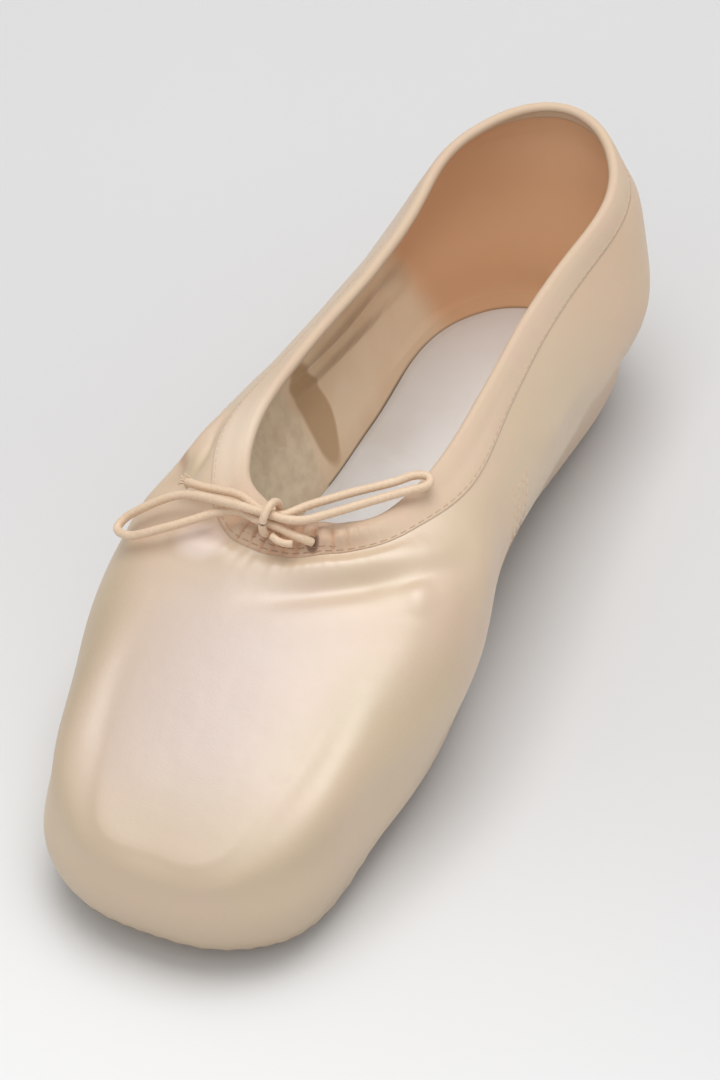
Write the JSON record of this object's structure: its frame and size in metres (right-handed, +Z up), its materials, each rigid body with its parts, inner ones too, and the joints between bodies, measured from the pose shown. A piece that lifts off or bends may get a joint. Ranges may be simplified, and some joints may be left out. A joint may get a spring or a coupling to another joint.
{
  "type": "pointe shoe",
  "caption": "Satin ballet shoe with a stiff boxed toe and flat platform, short leather outsole, board insole and a drawstring bow at the throat.",
  "frame": {"origin": "centre of the shoe's bounding box, without the bow's cord, on the floor under the sole", "axes": "+Y along the shoe towards the heel, the toe points to -Y; +Z up from the floor; +X to the right of someone who looks from the toe's side towards the heel"},
  "size_m": [0.0822, 0.2259, 0.0632],
  "materials": {
    "satin": "pale pinkish beige satin",
    "casing": "matt cream cotton tape",
    "cord": "braided cotton cord",
    "sole_leather": "matt brown split leather",
    "insole_board": "matt warm grey lining cloth on board"
  },
  "bodies": {
    "root": {"upper": "satin", "topline_binding": "casing", "drawstring": "cord", "drawstring_knot": "cord", "outsole": "sole_leather", "insole": "insole_board"}
  },
  "joints": []
}
